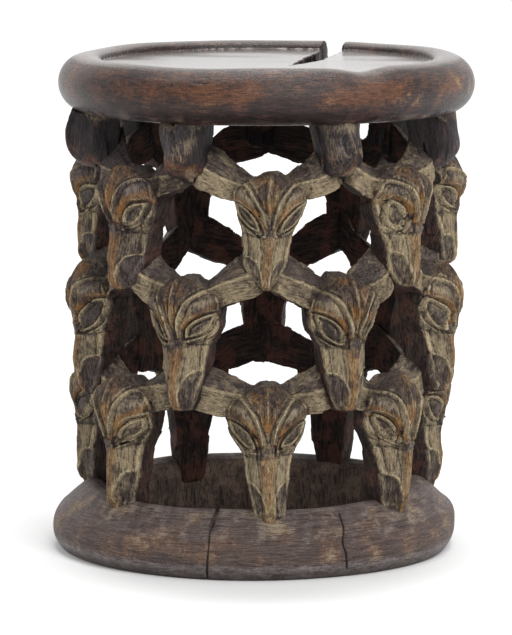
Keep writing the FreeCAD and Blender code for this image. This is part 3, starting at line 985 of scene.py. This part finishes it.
class Graph:
    """The nodes of a material or world, added one call at a time; most calls return the socket they make."""

    def __init__(self, owner):
        self.tree = owner.node_tree
        self.tree.nodes.clear()

    def node(self, kind, inputs=None, **settings):
        made_node = self.tree.nodes.new("ShaderNode" + kind)
        for key, value in settings.items():
            setattr(made_node, key, value)
        for key, value in (inputs or {}).items():
            self.feed(made_node.inputs[key], value)
        return made_node

    def feed(self, socket, value):
        if isinstance(value, bpy.types.NodeSocket):
            self.tree.links.new(value, socket)
        elif socket.type == "RGBA" and len(value) == 3:
            socket.default_value = (*value, 1.0)
        else:
            socket.default_value = value

    def math(self, operation, a, b=0.0, c=0.0):
        return self.node("Math", {0: a, 1: b, 2: c}, operation=operation).outputs[0]

    def plus(self, a, b):
        return self.math("ADD", a, b)

    def times(self, a, b):
        return self.math("MULTIPLY", a, b)

    def scaled(self, value, factor, base):
        """The value times the factor, on top of the base."""
        return self.math("MULTIPLY_ADD", value, factor, base)

    def attribute(self, name, output="Fac"):
        return self.node("Attribute", attribute_name=name).outputs[output]

    def length(self, vector):
        return self.node("VectorMath", {0: vector}, operation="LENGTH").outputs["Value"]

    def noise(self, vector, scale, detail=4.0, rough=0.55, bend=0.0):
        made_node = self.node("TexNoise", {
            "Vector": vector, "Scale": scale, "Detail": detail, "Roughness": rough, "Distortion": bend})
        return made_node.outputs["Fac"]

    def stretched(self, vector, scale, turn=(0.0, 0.0, 0.0)):
        return self.node("Mapping", {"Vector": vector, "Rotation": turn, "Scale": scale}).outputs[0]

    def step(self, value, start, end):
        made_node = self.node("MapRange", {"Value": value, "From Min": start, "From Max": end},
                              interpolation_type="SMOOTHSTEP")
        return made_node.outputs[0]

    def mix(self, share, a, b, blend="MIX"):
        made_node = self.node("Mix", {"Factor": share}, data_type="RGBA", blend_type=blend)
        self.feed(made_node.inputs[6], a)
        self.feed(made_node.inputs[7], b)
        return made_node.outputs[2]

    def swing(self, value, strength):
        """A noise value moved to swing either side of zero."""
        return self.scaled(value, 2.0 * strength, -strength)


# A wood's colours (pale is a painted highlight on the ribs, grey is partly a painted sheen, and the bare
# wood's colour is also painted shade), roughness and gloss, how much smoother its grey is, wax on the grey,
# strength of the fine relief, contrast of the specks, and how far the colours follow the strokes
Finish = namedtuple(
    "Finish", "dark brown ochre pale rust grey raw red rough gloss polish wax bump contrast strokes")
FINISHES = {
    "head_wood": Finish(
        dark=(0.018, 0.013, 0.012), brown=(0.085, 0.062, 0.050), ochre=(0.285, 0.226, 0.142),
        pale=(0.400, 0.322, 0.205), rust=(0.255, 0.122, 0.034), grey=(0.120, 0.101, 0.102),
        raw=(0.019, 0.013, 0.014), red=(0.090, 0.042, 0.032), rough=0.50, gloss=0.16, polish=0.10, wax=0.0,
        bump=1.0, contrast=1.9, strokes=0.55),
    "bracket_wood": Finish(
        dark=(0.009, 0.007, 0.009), brown=(0.036, 0.027, 0.027), ochre=(0.210, 0.160, 0.110),
        pale=(0.270, 0.210, 0.140), rust=(0.170, 0.070, 0.032), grey=(0.130, 0.120, 0.135),
        raw=(0.012, 0.008, 0.009), red=(0.070, 0.030, 0.020), rough=0.36, gloss=0.18, polish=0.10, wax=0.0,
        bump=0.8, contrast=1.8, strokes=0.7),
    "seat_wood": Finish(
        dark=(0.011, 0.007, 0.007), brown=(0.038, 0.020, 0.017), ochre=(0.260, 0.165, 0.088),
        pale=(0.260, 0.165, 0.088), rust=(0.105, 0.042, 0.019), grey=(0.115, 0.086, 0.071),
        raw=(0.012, 0.009, 0.010), red=(0.050, 0.024, 0.021), rough=0.28, gloss=0.26, polish=0.06, wax=1.0,
        bump=0.40, contrast=2.8, strokes=0.6),
    "base_wood": Finish(
        dark=(0.045, 0.032, 0.029), brown=(0.105, 0.076, 0.066), ochre=(0.270, 0.216, 0.150),
        pale=(0.270, 0.216, 0.150), rust=(0.150, 0.078, 0.048), grey=(0.205, 0.180, 0.182),
        raw=(0.150, 0.115, 0.094), red=(0.205, 0.144, 0.112), rough=0.50, gloss=0.18, polish=0.10, wax=0.0,
        bump=0.9, contrast=2.2, strokes=0.40),
}
GROOVE_DARK = (0.008, 0.006, 0.005)
WAX_ROUGHNESS = 0.16

# How far shade gathers in hollows, and how deep the fine relief is, in metres
SHADE_REACH = 0.022
RELIEF_DEPTH = 0.0018


def new_material(name):
    material = bpy.data.materials.new(name)
    material.use_nodes = True
    return material


def carved_wood(slot):
    """Old wood: a dark patina with ochre, rust and grey by the paint shares, in strokes along the carving,
    with painted highlights on ribs and edges, and painted shade in grooves and hollows.
    """
    look = FINISHES[slot]
    material = new_material(slot)
    graph = Graph(material)
    noise, swing, step, mix = graph.noise, graph.swing, graph.step, graph.mix
    plus, times, scaled = graph.plus, graph.times, graph.scaled
    place = graph.node("TexCoord").outputs["Object"]
    strokes = graph.attribute("strokes", "Vector")
    paint = graph.node("Attribute", attribute_name="paint")
    split = graph.node("SeparateColor", {"Color": paint.outputs["Color"]})
    ochre_share, rust_share, grey_share = split.outputs
    raw_wood_and_shade_share = paint.outputs["Alpha"]
    line = graph.attribute("line")
    rib = graph.attribute("rib")
    crack = graph.attribute("crack")
    open_share = graph.node("AmbientOcclusion", {"Distance": SHADE_REACH}, samples=6).outputs["AO"]

    # Lumps of noise per metre, and per millimetre along the strokes
    patch = noise(place, 60.0, 3.0)
    mottle = noise(place, 280.0, 5.0, 0.65)
    speck = noise(place, 1100.0, 3.0, 0.65)
    streak = noise(strokes, 0.42, 5.0, 0.7, 0.5)
    hair = noise(strokes, 1.1, 4.0, 0.7, 0.3)
    scar = noise(graph.stretched(strokes, (0.8, 0.8, 0.8), (0.5, 0.3, 0.7)), 1.0, 3.0, 0.6, 0.3)

    def roughened(share, by_streak, by_hair, by_mottle, by_patch):
        total = plus(share, swing(streak, by_streak * look.strokes))
        total = plus(total, swing(hair, by_hair * look.strokes))
        total = plus(total, swing(mottle, by_mottle))
        return plus(total, swing(patch, by_patch))

    colour = mix(step(streak, 0.32, 0.62), look.dark, look.brown)
    rough_rust = roughened(rust_share, 0.7, 0.4, 0.6, 0.9)
    colour = mix(times(step(rough_rust, 0.05, 0.9), 0.85), colour, look.rust)
    rough_grey = roughened(grey_share, 0.5, 0.3, 0.5, 0.3)
    colour = mix(times(step(rough_grey, 0.1, 0.9), 0.8), colour, look.grey)
    # Ochre on the ribs and edges, and the pale colour on the ribs: dust and a painted highlight
    broken = plus(swing(mottle, 1.6), swing(streak, 1.4))
    rib_dust_and_highlight = step(plus(rib, broken), 1.1, 0.1)
    rough_ochre = scaled(rib_dust_and_highlight, 0.42, roughened(ochre_share, 0.9, 0.7, 0.5, 0.9))
    dust_and_highlight = step(rough_ochre, 0.0, 1.0)
    colour = mix(times(dust_and_highlight, 0.95), colour, look.ochre)
    colour = mix(times(rib_dust_and_highlight, step(rough_ochre, 0.4, 1.2)), colour, look.pale)

    # The dark bare inner wood, also laid on the heads' sides as painted shade
    inner = mix(step(streak, 0.40, 0.60), look.raw, [0.6 * c for c in look.brown])
    inner = mix(step(roughened(patch, 0.5, 0.3, 0.0, 0.6), 0.45, 0.75), inner, look.red)
    inner = mix(times(step(hair, 0.54, 0.66), 0.7), inner, look.dark)
    colour = mix(raw_wood_and_shade_share, colour, inner)

    colour = mix(times(step(scar, 0.55, 0.63), 0.65), colour, look.dark)
    # Painted shade along the carved grooves and creases
    painted_groove_shade = step(plus(line, swing(mottle, 1.2)), 0.70, 0.10)
    colour = mix(times(painted_groove_shade, 0.70), colour, look.dark)
    # Painted shade where the wood is closed in, from ambient occlusion
    painted_hollow_shade = step(plus(open_share, swing(mottle, 0.25)), 0.78, 0.24)
    colour = mix(times(painted_hollow_shade, 0.85), colour, look.dark)
    in_crack = step(plus(crack, swing(speck, 0.6)), 0.6, 0.2)
    colour = mix(in_crack, colour, GROOVE_DARK)
    fine = scaled(plus(speck, hair), look.contrast, 1.0 - look.contrast)
    fine = graph.math("MINIMUM", graph.math("MAXIMUM", fine, 0.35), 1.7)
    tint = graph.node("CombineColor", {0: fine, 1: fine, 2: fine}).outputs[0]
    colour = mix(1.0, colour, tint, "MULTIPLY")

    height = scaled(streak, 0.8, times(mottle, 0.5))
    height = scaled(hair, 0.5, scaled(scar, -0.4, height))
    bumped = graph.node("Bump", {"Strength": look.bump, "Distance": RELIEF_DEPTH, "Height": height})
    rough = scaled(dust_and_highlight, 0.25, scaled(mottle, 0.2, look.rough - 0.1))
    rough = scaled(grey_share, -look.polish, rough)
    gloss = scaled(raw_wood_and_shade_share, -0.7 * look.gloss, look.gloss)
    wax = times(graph.math("MAXIMUM", grey_share, 0.0), look.wax)
    surface_node = graph.node("BsdfPrincipled", {
        "Base Color": colour, "Roughness": rough, "Normal": bumped.outputs[0], "Specular IOR Level": gloss,
        "Coat Weight": wax, "Coat Roughness": WAX_ROUGHNESS})
    graph.node("OutputMaterial", {"Surface": surface_node.outputs[0]})
    return material


def build_stool():
    materials = {slot: carved_wood(slot) for slot in FINISHES}

    def finish(piece, node, slot):
        piece.data.materials.append(materials[slot])
        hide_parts(node)
        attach(piece, "root")

    build_heads(finish)
    build_brackets(finish)
    build_seat(finish)
    build_base(finish)


# Studio

FLOOR_SIZE = 40.0
FLOOR_COLOUR = (0.75, 0.75, 0.75)
# The floor's glow near the stool and far off, the distances in metres over which each comes up, and how much
# narrower than deep the dark place under the stool is
GLOW_AROUND = 0.22
AROUND = (0.21, 0.33)
GLOW_FAR = 0.56
FAR_OFF = (0.3, 3.0)
SHADOW_SQUEEZE = 1.6


def seen_directly(graph):
    """1 for rays from the camera and for mirrored and refracted ones, 0 for light that falls on the stool."""
    path = graph.node("LightPath").outputs
    seen = graph.plus(path["Is Camera Ray"], path["Is Glossy Ray"])
    seen = graph.plus(seen, path["Is Transmission Ray"])
    return graph.math("MINIMUM", seen, 1.0)


def build_floor():
    """A pale floor. Seen directly it glows round the stool, and more where the lamps fall away."""
    half = FLOOR_SIZE / 2.0
    corners = [(-half, -half, 0.0), (half, -half, 0.0), (half, half, 0.0), (-half, half, 0.0)]
    mesh = bpy.data.meshes.new("floor")
    mesh.from_pydata(corners, [], [(0, 1, 2, 3)])
    floor = added("floor", mesh)
    material = new_material("floor")
    graph = Graph(material)
    place = graph.node("TexCoord").outputs["Object"]
    near = graph.length(graph.stretched(place, (SHADOW_SQUEEZE, 1.0, 1.0)))
    around = graph.times(graph.step(near, *AROUND), GLOW_AROUND)
    glow = graph.scaled(graph.step(graph.length(place), *FAR_OFF), GLOW_FAR, around)
    glow = graph.times(seen_directly(graph), glow)
    light = graph.node("Emission", {"Color": (1.0, 1.0, 1.0), "Strength": glow})
    pale = graph.node("BsdfDiffuse", {"Color": FLOOR_COLOUR})
    both = graph.node("AddShader", {0: light.outputs[0], 1: pale.outputs[0]})
    graph.node("OutputMaterial", {"Surface": both.outputs[0]})
    mesh.materials.append(material)


# Light from all round; seen directly the world is white
WORLD_LIGHT = 0.34


def build_world():
    world = bpy.data.worlds.new("studio")
    bpy.context.scene.world = world
    world.use_nodes = True
    graph = Graph(world)
    strength = graph.scaled(seen_directly(graph), 1.0 - WORLD_LIGHT, WORLD_LIGHT)
    white = graph.node("Background", {"Color": (1.0, 1.0, 1.0), "Strength": strength})
    graph.node("OutputWorld", {"Surface": white.outputs[0]})


# Lamps: name, watts, width, height, place, and the point it faces
LAMPS = (
    ("key", 60.0, 1.6, 1.6, (0.8, -2.0, 2.0), (0.0, 0.0, 0.2)),
    ("right", 20.0, 1.6, 1.2, (2.2, 0.1, 1.0), (0.0, 0.0, 0.2)),
    ("left", 14.0, 1.6, 1.2, (-2.2, -0.2, 1.0), (0.0, 0.0, 0.2)),
    ("top", 30.0, 1.6, 0.5, (0.0, 0.4, 2.2), (0.0, 0.0, 0.2)),
    ("low", 4.0, 2.0, 0.6, (0.0, -2.4, 0.4), (0.0, 0.0, 0.15)),
)
# Lamps that light the wood but show no image of themselves in its polish
FILL_LAMPS = ("right", "left")


def build_lamps():
    for name, watts, width, height, place, aim in LAMPS:
        lamp = bpy.data.lights.new(name, "AREA")
        lamp.shape = "RECTANGLE"
        lamp.size = width
        lamp.size_y = height
        lamp.energy = watts
        holder = added(name, lamp)
        holder.location = place
        aimed = Vector(aim) - Vector(place)
        holder.rotation_euler = aimed.to_track_quat("-Z", "Y").to_euler()
        holder.visible_glossy = name not in FILL_LAMPS


# Camera: fitted to the outline of the stool in the photograph
CAMERA_PLACE = (0.0, -3.853, 0.7464)
CAMERA_TILT = 81.928
CAMERA_YAW = 0.08992
FOCAL_LENGTH = 252.9


def build_camera():
    data = bpy.data.cameras.new("camera")
    data.sensor_width = 36.0
    data.lens = FOCAL_LENGTH
    data.clip_end = 100.0
    camera = added("camera", data)
    camera.location = CAMERA_PLACE
    camera.rotation_euler = (math.radians(CAMERA_TILT), 0.0, math.radians(CAMERA_YAW))
    bpy.context.scene.camera = camera


build_stool()
build_floor()
build_world()
build_lamps()
build_camera()
bpy.context.scene.view_settings.view_transform = "Standard"
